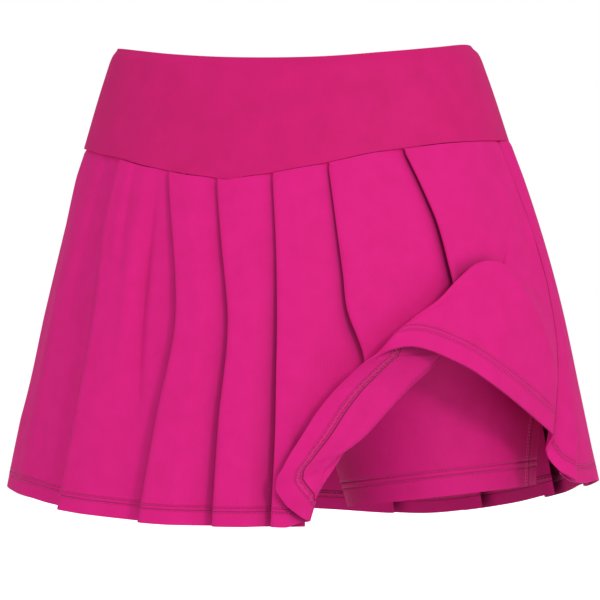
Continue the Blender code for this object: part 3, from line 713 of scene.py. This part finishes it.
# %% Waves in the panels
SOFT_WAVES = [
    # angle at band, angle at hem, height (minus is a trough), half width in degrees, from, to
    (-80, -79, 0.8, 5.0, 0.2, 1.3),
    (-67, -66, -4.4, 11.0, 0.08, 0.8),
    (-74, -77, -1.5, 3.0, -0.1, 0.5),
    (-5.6, -7.8, -1.7, 1.3, 0.42, 1.1),
    (-8.2, -10.2, 0.8, 1.4, 0.42, 1.1),
    (-52, -51, 2.6, 5.0, 0.1, 1.2),
    (-44, -41, -2.4, 2.5, -0.1, 0.6),
    (-38.6, -37.0, -2.4, 3.0, -0.3, 1.4),
    (-31.5, -25.0, -3.0, 2.4, -0.1, 0.5),
    (-24, -19.5, 2.0, 2.2, -0.1, 0.6),
    (-21, -16.5, -3.2, 1.8, 0.02, 0.8),
    (62, 60, 1.6, 5.0, -0.1, 0.6),
    (76, 74, -1.5, 5.0, 0.0, 0.6),
    (-20.5, -15.5, -2.2, 1.1, 0.0, 0.85),
    (-29, -23.5, -2.0, 1.1, -0.05, 0.55),
    (110, 111, 1.4, 4.0, 0.0, 0.9),
    (133, 134, -1.3, 3.0, 0.0, 0.8),
    (155, 156, 1.2, 3.5, 0.1, 1.1),
    (178, 177, -1.2, 3.0, 0.0, 0.7),
    (198, 197, 1.3, 3.0, 0.1, 1.0),
    (219, 218, -1.4, 3.0, 0.0, 0.9),
    (240, 240, 1.4, 3.5, 0.0, 1.0),
]


FORM_DEPTH_SHARE = 0.74     # about how deep the form is for its width


def add_waves(grid):
    for at_band, at_hem, height, width, start, end in SOFT_WAVES:
        angle, down = grid[..., 3], grid[..., 4]
        centre = at_band + (at_hem - at_band) * down
        reach = np.sin(np.pi * np.clip((down - start) / (end - start), 0, 1))
        rise = height * reach * np.exp(-((angle - centre) / width) ** 2)
        rise = rise * np.clip(grid[..., 5], 0, 1)
        turn = np.radians(angle)
        outward = np.stack([np.sin(turn) * FORM_DEPTH_SHARE, -np.cos(turn), 0 * turn], axis=-1)
        outward /= np.linalg.norm(outward, axis=-1, keepdims=True)
        grid[..., :3] += outward * rise[..., None]
    return grid


# %% [markdown]
# ## Thin walls
# A cloth piece is a closed wall: the fine grid pushed half a thickness to each side, with its
# edges joined. Its UV map runs in millimetres of cloth: across along the hem, and up from the hem.
# The value up is divided by the height of the first row of stitches, so that the hem's relief
# falls in the same place on every piece.

# %% Wall builder
def unit_normals(grid, closed=False):
    points = grid[..., :3]
    if closed:
        points = np.concatenate([points[-1:], points, points[:1]])
    across, down = np.gradient(points, axis=0), np.gradient(points, axis=1)
    normals = np.cross(down, across)
    normals /= np.maximum(np.linalg.norm(normals, axis=2, keepdims=True), 1e-9)
    return normals[1:-1] if closed else normals


def hem_distance(grid):
    """Millimetres of cloth from each point down its line to the hem."""
    steps = np.linalg.norm(np.diff(grid[..., :3], axis=1), axis=2)
    from_hem = np.cumsum(steps[:, ::-1], axis=1)[:, ::-1]
    return np.concatenate([from_hem, np.zeros((len(grid), 1))], axis=1)


def new_piece(name, points, faces):
    """An object from points in millimetres and faces, shaded smooth."""
    mesh = bpy.data.meshes.new(name)
    mesh.from_pydata([tuple(p) for p in np.array(points) * MM], [], faces)
    mesh.update()
    mesh.shade_smooth()
    piece = bpy.data.objects.new(name, mesh)
    bpy.context.scene.collection.objects.link(piece)
    return piece


def set_point_values(mesh, name, values):
    attribute = mesh.attributes.new(name, "FLOAT", "POINT")
    attribute.data.foreach_set("value", values.astype(np.float32))


HEM_ROW = 10.0              # the first row of stitches lies that far above the skirt's hem
HIGHER_ROW = 14.0           # and that far on its lifted part and on the shorts
HEM_DEPTH = 1.4             # how deep a turned-up hem is, in heights of its first row
HEM_EDGE = 12               # how sharply it ends
SHARP = math.radians(75)
KNIT_WALL, BAND_WALL, TURN_UP = 0.9, 2.2, 0.5


def cloth_wall(name, grid, wall, first_row=HEM_ROW, closed=False, turn_up=0.0):
    """One closed wall of cloth. turn_up thickens it on the wrong side as far as the hem is deep."""
    lines, rows = grid.shape[:2]
    normals = unit_normals(grid, closed)
    up_from_hem = hem_distance(grid)
    first_row = np.broadcast_to(first_row, (lines,))[:, None]
    in_hem = 1 / (1 + np.exp((up_from_hem / first_row - HEM_DEPTH) * HEM_EDGE))
    inner_wall = wall / 2 + turn_up * in_hem
    outer = grid[..., :3] + normals * wall / 2
    inner = grid[..., :3] - normals * inner_wall[..., None]
    points = np.concatenate([outer.reshape(-1, 3), inner.reshape(-1, 3)])
    side = lines * rows
    last = rows - 1
    faces = []
    for line in range(lines if closed else lines - 1):
        a, b = line * rows, (line + 1) % lines * rows
        for row in range(rows - 1):
            faces.append((a + row + 1, b + row + 1, b + row, a + row))
            faces.append((side + a + row, side + b + row, side + b + row + 1, side + a + row + 1))
        faces.append((a, b, side + b, side + a))
        faces.append((side + a + last, side + b + last, b + last, a + last))
    if not closed:
        for a, turn in ((0, -1), ((lines - 1) * rows, 1)):
            for row in range(rows - 1):
                rim = (a + row, a + row + 1, side + a + row + 1, side + a + row)
                faces.append(rim[::turn])
    piece = new_piece(name, points, faces)
    mesh = piece.data
    across = np.linalg.norm(np.diff(grid[..., :3], axis=0), axis=2).mean(axis=1)
    u = np.concatenate([[0], np.cumsum(across)])
    uv = np.stack([np.broadcast_to(u[:, None], (lines, rows)), up_from_hem / first_row], axis=-1)
    uv = np.concatenate([uv.reshape(-1, 2)] * 2)
    layer = mesh.uv_layers.new(name="cloth")
    loops = np.empty(len(mesh.loops), dtype=np.int32)
    mesh.loops.foreach_get("vertex_index", loops)
    layer.data.foreach_set("uv", uv[loops].astype(np.float32).ravel())
    set_point_values(mesh, "wrong_side", np.repeat([0.0, 1.0], side))
    # Both side edges are marked for the painted shade that the material draws along the seams.
    seam = np.zeros((lines, rows))
    if not closed:
        seam[[0, -1]] = 1.0
    set_point_values(mesh, "seam_shade_mark", np.tile(seam.ravel(), 2))
    mesh.set_sharp_from_angle(angle=SHARP)
    area = sum(p.area for p in mesh.polygons)
    print(name, len(mesh.polygons), "faces,", round(area / 2, 4), "square metres a side")
    return piece


def dress(piece, node, material):
    """Give a cloth piece its material and let it stand for its solid."""
    piece.data.materials.append(material)
    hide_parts(node)
    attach(piece, "root")


# %% [markdown]
# ## Knit materials
# The skirt and shorts are polyester interlock, a fine double knit: dyed bright magenta, matt, with
# a soft bloom at grazing angles that sheen gives. The band is two layers of a heavier interlock,
# so it is deeper and closer. The knit's columns are about 0.8 mm apart, too fine for the picture,
# so they are drawn at twice that. A slight mottle comes from the cloth's uneven give.

# %% Knit materials
# Painted shade colours: the first darkens the cloth's own close folds, the second the hem's rows of
# stitches, the step of its raw edge and the side seams.
CREASE_SHADE_COLOUR, STITCH_AND_SEAM_SHADE_COLOUR = "#73053C", "#8E0A4C"
# The hem's relief, the painted shade in its two rows of stitches and the painted shadow along its raw
# edge, by half the height above the hem over that of the first row of stitches. So the first row is at
# 0.5, and the second at 0.66.
RELIEF = ((0.0, 0.5), (0.44, 0.5), (0.50, 0.0), (0.56, 0.75), (0.60, 0.75), (0.66, 0.0),
          (0.72, 0.5), (1.0, 0.5))
RAW_EDGE_SHADOW = ((0.0, 0), (0.685, 0), (0.70, 1), (0.725, 1), (0.74, 0))
ROW_SHADE = ((0.0, 0), (0.470, 0), (0.490, 1), (0.505, 1), (0.525, 0), (0.630, 0), (0.650, 1),
             (0.665, 1), (0.685, 0))


def grey_ramp(tree, source, stops, interpolation="LINEAR"):
    """A ramp that turns one value into another. stops are (value in, value out)."""
    node = add_node(tree, "ValToRGB", {}, {"Fac": source})
    ramp = node.color_ramp
    ramp.interpolation = interpolation
    for i, (at, grey) in enumerate(stops):
        stop = ramp.elements[i] if i < 2 else ramp.elements.new(at)
        stop.position = at
        stop.color = (grey, grey, grey, 1)
    return node.outputs["Color"]


def mix_colours(tree, factor, first, second):
    """A mix of two colours, each a hex value or another node's output."""
    node = add_node(tree, "Mix", {"data_type": "RGBA"}, {"Factor": factor})
    for socket, value in ((6, first), (7, second)):
        if isinstance(value, str):
            node.inputs[socket].default_value = colour(value)
        else:
            tree.links.new(value, node.inputs[socket])
    return node.outputs[2]


def sewn_hem(tree, uv, dye_and_shade, relief):
    """Press in the hem's rows of stitches, and paint shade into them, a shadow along the raw edge
    behind and shade along the seams.
    """
    parts = add_node(tree, "SeparateXYZ", {}, {"Vector": uv.outputs["UV"]})
    half = add_node(tree, "Math", {"operation": "MULTIPLY", 1: 0.5}, {0: parts.outputs["Y"]})
    height = half.outputs["Value"]
    pressed = add_node(tree, "Bump", {"Strength": 1.0, "Distance": 0.0011},
                       {"Height": grey_ramp(tree, height, RELIEF, "EASE"),
                        "Normal": relief.outputs["Normal"]})
    wrong = add_node(tree, "Attribute", {"attribute_name": "wrong_side"})
    seam = add_node(tree, "Attribute", {"attribute_name": "seam_shade_mark"})
    # Painted shadow along the raw edge's step, on the wrong side only.
    painted_shade = add_node(tree, "Math", {"operation": "MULTIPLY"},
                    {0: grey_ramp(tree, height, RAW_EDGE_SHADOW), 1: wrong.outputs["Fac"]})
    # Painted shade in the two rows of stitches, at a quarter strength.
    painted_shade = add_node(tree, "Math", {"operation": "MULTIPLY_ADD", 1: 0.25},
                    {0: grey_ramp(tree, height, ROW_SHADE), 2: painted_shade.outputs["Value"]})
    # Painted shade along both side edges of each piece, where the seams are.
    painted_shade = add_node(tree, "Math", {"operation": "MULTIPLY_ADD", "use_clamp": True, 1: 0.6},
                    {0: seam.outputs["Fac"], 2: painted_shade.outputs["Value"]})
    return mix_colours(tree, painted_shade.outputs["Value"], dye_and_shade, STITCH_AND_SEAM_SHADE_COLOUR), pressed


def knit(name, hex_light, hex_deep, mottle_mm, hem_relief):
    material, shader = new_material(name, {
        "Roughness": 0.72, "Sheen Weight": 0.10, "Sheen Roughness": 0.45,
        "Sheen Tint": colour("#FF3C9A"), "Specular IOR Level": 0.2})
    tree = material.node_tree
    place = add_node(tree, "TexCoord")
    mottle = add_node(tree, "TexNoise", {"Scale": 1000 / mottle_mm, "Detail": 3.0},
                      {"Vector": place.outputs["Object"]})
    spread = add_node(tree, "MapRange", {"From Min": 0.3, "From Max": 0.7},
                      {"Value": mottle.outputs["Fac"]})
    dye_and_shade = mix_colours(tree, spread.outputs["Result"], hex_deep, hex_light)
    # Painted shade: where the piece's own pressed folds lie close, the colour is mixed towards a dark
    # crease colour.
    fold = add_node(tree, "AmbientOcclusion", {"samples": 12, "only_local": True,
                                               "Distance": 0.018})
    depth = add_node(tree, "MapRange", {"From Min": 0.25, "From Max": 0.92, "To Min": 0.9,
                                        "To Max": 0.0}, {"Value": fold.outputs["AO"]})
    dye_and_shade = mix_colours(tree, depth.outputs["Result"], dye_and_shade, CREASE_SHADE_COLOUR)
    uv = add_node(tree, "UVMap", {"uv_map": "cloth"})
    columns = add_node(tree, "TexWave", {"wave_type": "BANDS", "bands_direction": "X",
                                         "Scale": 0.2, "Distortion": 0.6, "Detail": 1.0},
                       {"Vector": uv.outputs["UV"]})
    relief = add_node(tree, "Bump", {"Strength": 0.10, "Distance": 0.0002},
                      {"Height": columns.outputs["Fac"]})
    if hem_relief:
        dye_and_shade, relief = sewn_hem(tree, uv, dye_and_shade, relief)
    tree.links.new(dye_and_shade, shader.inputs["Base Color"])
    tree.links.new(relief.outputs["Normal"], shader.inputs["Normal"])
    return material


skirt_cloth = knit("polyester interlock knit, bright magenta", "#DB137F", "#D51079", 14, True)
band_cloth = knit("double interlock knit, deep magenta", "#CF0F6F", "#C70E69", 18, False)
shorts_cloth = knit("stretch interlock knit, magenta", "#DA127D", "#D31077", 12, True)


# %% [markdown]
# ## The skirt
# Two flared, pleated panels. Below the band the cloth rolls into the seam, which draws a soft
# shadow line. The hem is turned up once, so the wall is thicker there on the wrong side.

# %% Skirt front and back
ROLL_DEPTH, ROLL_REACH = 0.7, 1.6       # how far in the top edge goes, and over how much cloth


def roll_into_seam(grid):
    """Draw the top edge in under the band, over the first few millimetres of cloth."""
    steps = np.linalg.norm(np.diff(grid[..., :3], axis=1), axis=2)
    below = np.concatenate([np.zeros((len(grid), 1)), np.cumsum(steps, axis=1)], axis=1)
    inward = -ROLL_DEPTH * np.exp(-(below / ROLL_REACH) ** 2)
    grid[..., :3] += unit_normals(grid) * inward[..., None]
    return grid


def first_stitch_height(grid):
    """The height of the first row of stitches, which is higher on the lifted part."""
    more = HIGHER_ROW - HEM_ROW
    return np.array([HEM_ROW + more * ease(20, 60, number) for number in grid[:, -1, 6]])


def soften(grid, line, down, line_reach, down_reach, rounds):
    """Smooth the grid round one place, given by its line of cloth and how far down it is."""
    aside, above = (grid[..., 6] - line) / line_reach, (grid[..., 4] - down) / down_reach
    near = np.exp(-aside ** 2 - above ** 2)
    near[[0, -1]] = 0
    near[:, [0, -1]] = 0
    for _ in range(rounds):
        around = sum(np.roll(grid[..., :3], step, axis) for step in (1, -1) for axis in (0, 1)) / 4
        grid[..., :3] += near[..., None] * (around - grid[..., :3])
    return grid


LIFT_CREASES = [
    # from line, to line, how far down at the start, at the end, height, half width
    (220, 318, 0.835, 0.890, -2.2, 0.022),
    (232, 300, 0.880, 0.955, -0.9, 0.020),
]


def add_lift_creases(grid):
    """Soft troughs that run along under the ridge of the lifted cloth."""
    for first, last, down_first, down_last, height, width in LIFT_CREASES:
        along = np.clip((grid[..., 6] - first) / (last - first), 0, 1)
        centre = down_first + (down_last - down_first) * along ** 0.6
        rise = height * np.sin(np.pi * along) * np.exp(-((grid[..., 4] - centre) / width) ** 2)
        grid[..., :3] += unit_normals(grid) * rise[..., None]
    return grid


SIDE_ROLL = ((0, 0.8), (1, 0.35), (-2, 0.35), (-1, 0.8))    # (line, how far in)


def roll_side_seams(grid):
    """Draw both side edges in, so that the seam shows as a groove."""
    normals = unit_normals(grid)
    for line, inward in SIDE_ROLL:
        grid[line, :, :3] -= normals[line] * inward
    return grid


front_grid = soften(add_waves(finer(skirt_front_control())), line=298, down=0.63,
                    line_reach=15, down_reach=0.15, rounds=70)
front_grid = roll_side_seams(roll_into_seam(add_lift_creases(front_grid)))
back_grid = roll_side_seams(roll_into_seam(add_waves(finer(skirt_back_control()))))
front_heights = first_stitch_height(front_grid)
skirt_front = cloth_wall("skirt_front_cloth", front_grid, KNIT_WALL, front_heights, turn_up=TURN_UP)
skirt_back = cloth_wall("skirt_back_cloth", back_grid, KNIT_WALL, turn_up=TURN_UP)
dress(skirt_front, "skirt_front", skirt_cloth)
dress(skirt_back, "skirt_back", skirt_cloth)


# %% [markdown]
# ## The waistband
# One loop of double cloth, folded along the top and smooth. Its lower edge is a shallow V at the
# front and a softer one at the back.

# %% Waistband
BAND_SHARES = (0, 0.03, 0.07, 0.13, 0.25, 0.4, 0.6, 0.8, 1)
BAND_LINES = 72
BAND_ROLL = 3.6             # the fold along the top rolls in by that much
BAND_CROWN = 0.8            # the band's middle stands out by that much


def waistband_control():
    grid = []
    for i in range(BAND_LINES):
        angle = 360.0 * i / BAND_LINES
        top, seam = band_top_drop(angle), band_seam_drop(angle)
        column = []
        for share in BAND_SHARES:
            drop = top + (seam - top) * share
            roll = BAND_ROLL * math.exp(-(share * (seam - top) / BAND_ROLL) ** 2)
            out = BAND_OUT + BAND_CROWN * math.sin(math.pi * share) - roll
            column.append((*body_point(angle, drop, out), angle, share, 0.0, NO_NUMBER))
        grid.append(column)
    return np.array(grid)


band_grid = finer(waistband_control(), closed=True)
waistband = cloth_wall("waistband_cloth", band_grid, BAND_WALL, closed=True)
dress(waistband, "waistband", band_cloth)


# %% [markdown]
# ## The shorts
# Each leg is a front and a back panel, joined at the centre seam, the inseam and the side seam.
# Above the crotch the panels follow the body form; below it they close round the leg.

# %% Shorts
CROTCH_DROP = 255.0
LEG_HEM_DROP = 327.0
LEG_HEM_RISE = 15.0
LEG_OVALS = [
    # drop, centre_x, centre_y, half_width, front_depth, back_depth
    (200, 86, 6, 85.8, 110, 112),
    (236, 87.2, 8.4, 86.2, 95, 101),
    (255, 88.8, 9, 87.6, 88, 96),
    (285, 99.0, 10, 74, 79, 82),
    (327, 104.5, 13, 65.3, 73, 76),
]
SHORTS_LINES = 12
SHORTS_ROWS = (0, 0.15, 0.32, 0.46, 0.58, 0.68, 0.78, 0.86, 0.93, 1.0)


def shorts_control(side, face):
    """One panel, from the centre seam and inseam round to the side seam.

    side is 1 for the wearer's left leg and -1 for the right, face 1 for the front panel.
    """
    grid = []
    for i in range(SHORTS_LINES):
        share = i / (SHORTS_LINES - 1)
        angle = (0 if face > 0 else 180) + face * 90 * share
        top = panel_top_drop(angle)
        hem = LEG_HEM_DROP - LEG_HEM_RISE * ease(0, 1, share)
        column = []
        for down in SHORTS_ROWS:
            drop = top + (hem - top) * down
            hip = body_point(angle, drop, SHORTS_OUT - 2.5 * ease(0, 0.25, down))
            centre_x, centre_y, half_width, front, back_depth = read_curve(LEG_OVALS, drop)
            turn = math.pi * share
            depth = front if face > 0 else back_depth
            leg = np.array([centre_x - half_width * math.cos(turn),
                            centre_y - face * depth * math.sin(turn), -drop])
            point = hip + (leg - hip) * ease(118, CROTCH_DROP, drop)
            turned = ease(CROTCH_DROP - 45, CROTCH_DROP, drop)
            if i == 0:
                point[0] = max(point[0], 0.5 * SEAM_GAP + 0.5 * turned)
                point[1] -= face * 0.5 * SEAM_GAP * turned
            if i == SHORTS_LINES - 1:
                point[1] -= face * 0.5 * SEAM_GAP
            column.append((*(point * (side, 1, 1)), angle, down, 0.0, NO_NUMBER))
        grid.append(column)
    return np.array(grid)[::-1] if side * face < 0 else np.array(grid)


shorts_grids, shorts = {}, {}
for side, side_name in ((1, "left"), (-1, "right")):
    for face, face_name in ((1, "front"), (-1, "back")):
        node = f"shorts_{side_name}_{face_name}"
        shorts_grids[node] = finer(shorts_control(side, face))
        shorts[node] = cloth_wall(node + "_cloth", shorts_grids[node], KNIT_WALL, HIGHER_ROW,
                                  turn_up=TURN_UP)
        dress(shorts[node], node, shorts_cloth)


# %% [markdown]
# ## Stitches
# The hems are sewn on a twin-needle machine: two rows of short stitches on the right side. One
# stitch is modelled as a small flattened bead and copied along each row.

# %% Stitches
RIGHT_SIDE, WRONG_SIDE = 0.45, -0.9     # how far off the middle of the cloth a stitch lies
SECOND_ROW = 1.32                       # the second row's height over the first's
LOOP_PITCH = 2.3


def one_stitch(length, thick):
    bpy.ops.object.select_all(action="DESELECT")
    bpy.ops.mesh.primitive_uv_sphere_add(segments=6, ring_count=4, radius=1)
    bead = bpy.context.object
    points = np.array([v.co[:] for v in bead.data.vertices])[:, [2, 0, 1]]
    faces = [tuple(p.vertices) for p in bead.data.polygons]
    bpy.data.objects.remove(bead, do_unlink=True)
    return points * (length / 2, thick / 2, thick / 2), faces


def distance_along(path):
    steps = np.linalg.norm(np.diff(path, axis=0), axis=1)
    return np.concatenate([[0], np.cumsum(steps)])


def sample(at, known, *tables):
    """The first three columns of each table at one value of known."""
    return [np.array([np.interp(at, known, table[:, c]) for c in range(3)]) for table in tables]


def gather(places):
    """The points and the normals of a list of (point, normal), as two arrays."""
    return [np.array(column) for column in zip(*places)]


def unit(vector):
    return vector / max(np.linalg.norm(vector), 1e-9)


def two_rows(grid, first_row, lift=RIGHT_SIDE):
    """Two paths along a grid above its hem, pushed off the cloth: each is points and normals."""
    up_from_hem, normals = hem_distance(grid), unit_normals(grid)
    rows = []
    for multiple in (1.0, SECOND_ROW):
        heights = np.broadcast_to(first_row * multiple, (len(grid),))
        places = [sample(height, up[::-1], line[::-1], out[::-1])
                  for height, up, line, out in zip(heights, up_from_hem, grid, normals)]
        path, out = gather(places)
        out /= np.linalg.norm(out, axis=1, keepdims=True)
        rows.append((path + out * lift, out))
    return rows


def looper(rows):
    """The looper thread of a coverstitch: it crosses between two needle rows on the wrong side."""
    along = distance_along(rows[0][0])
    count = int(along[-1] // LOOP_PITCH)
    places = [sample(along[-1] * k / count, along, *rows[k % 2]) for k in range(count + 1)]
    return (*gather(places), True)


def beside_edge(grid, last, distance, below):
    """The path down a grid beside its first or last line, from a drop below the waist to the hem."""
    order = -1 if last else 1
    lines, normals = grid[::order], unit_normals(grid)[::order]
    steps = np.linalg.norm(np.diff(lines[..., :3], axis=0), axis=2)
    across = np.concatenate([np.zeros((1, grid.shape[1])), np.cumsum(steps, axis=0)])
    places = [sample(distance, across[:, row], lines[:, row], normals[:, row])
              for row in range(grid.shape[1]) if -grid[0, row, 2] >= below]
    path, out = gather(places)
    return path + out * RIGHT_SIDE, out


STITCH, STITCH_GAP, STITCH_THICK = 1.9, 0.6, 0.5


def sewn_rows(name, rows, material, length=STITCH, thick=STITCH_THICK):
    """Many stitches as one piece. rows is a list of (path, normals), and True if each step of
    the path is one stitch."""
    bead, bead_faces = one_stitch(length, thick)
    points, faces = [], []
    for path, out, *stepped in rows:
        along = distance_along(path)
        count = int(along[-1] // (length + STITCH_GAP))
        middles = (np.arange(count) + 0.5) * along[-1] / count
        for s in ((along[1:] + along[:-1]) / 2 if stepped else middles):
            here, normal = sample(s, along, path, out)
            forward = unit(sample(s + 0.5, along, path)[0] - here)
            sideways = unit(np.cross(normal, forward))
            upward = np.cross(forward, sideways)
            base = len(points)
            points.extend(here + bead @ np.array([forward, sideways, upward]))
            faces.extend(tuple(base + i for i in f) for f in bead_faces)
    piece = new_piece(name, points, faces)
    piece.data.materials.append(material)
    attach(piece, "root")
    print(name, len(faces), "faces")
    return piece


def thread(name, hex_value):
    return new_material(name, {"Base Color": colour(hex_value), "Roughness": 0.5,
                               "Sheen Weight": 0.3})[0]


# The hem's stitches are real thread, but their deeper colour is painted shade, for the shadow in the
# stitches' pits.
hem_thread = thread("spun polyester thread, deep magenta", "#B81068")
seam_thread = thread("spun polyester thread, pink", "#E84A9A")
looper_thread = thread("textured polyester thread, magenta", "#C4246F")
skirts = [("skirt_front", front_grid, front_heights, 4.4), ("skirt_back", back_grid, HEM_ROW, 3.6)]
sewing = {"skirt_front": [], "skirt_back": []}
for kind, lift, thick in (("hem_stitches", RIGHT_SIDE, STITCH_THICK), ("hem_looper", WRONG_SIDE, 0.45),
                          ("wrong_side_rows", WRONG_SIDE, 0.55)):
    for name, grid, first_row, loop in skirts:
        rows, length, yarn = two_rows(grid, first_row, lift), STITCH, hem_thread
        if kind == "hem_looper":
            rows, length, yarn = [looper(rows)], loop, looper_thread
        sewing[name].append(sewn_rows(f"{name}_{kind}", rows, yarn, length, thick))
BESIDE_SEAM = (2.0, 4.6)                # how far the rows lie from the seam
SIDE_ROWS_FROM, INSEAM_ROWS_FROM = 120, 262     # and the drop where they start to show
hem_rows, seam_rows = [], []
for node, grid in shorts_grids.items():
    hem_rows += two_rows(grid, HIGHER_ROW)
    side_is_last = node in ("shorts_left_front", "shorts_right_back")
    if node.endswith("front"):
        seam_rows += [beside_edge(grid, side_is_last, distance, SIDE_ROWS_FROM)
                      for distance in BESIDE_SEAM]
    seam_rows.append(beside_edge(grid, not side_is_last, BESIDE_SEAM[0], INSEAM_ROWS_FROM))
shorts_sewing = [sewn_rows("shorts_hem_stitches", hem_rows, hem_thread),
                 sewn_rows("shorts_seam_stitches", seam_rows, seam_thread)]
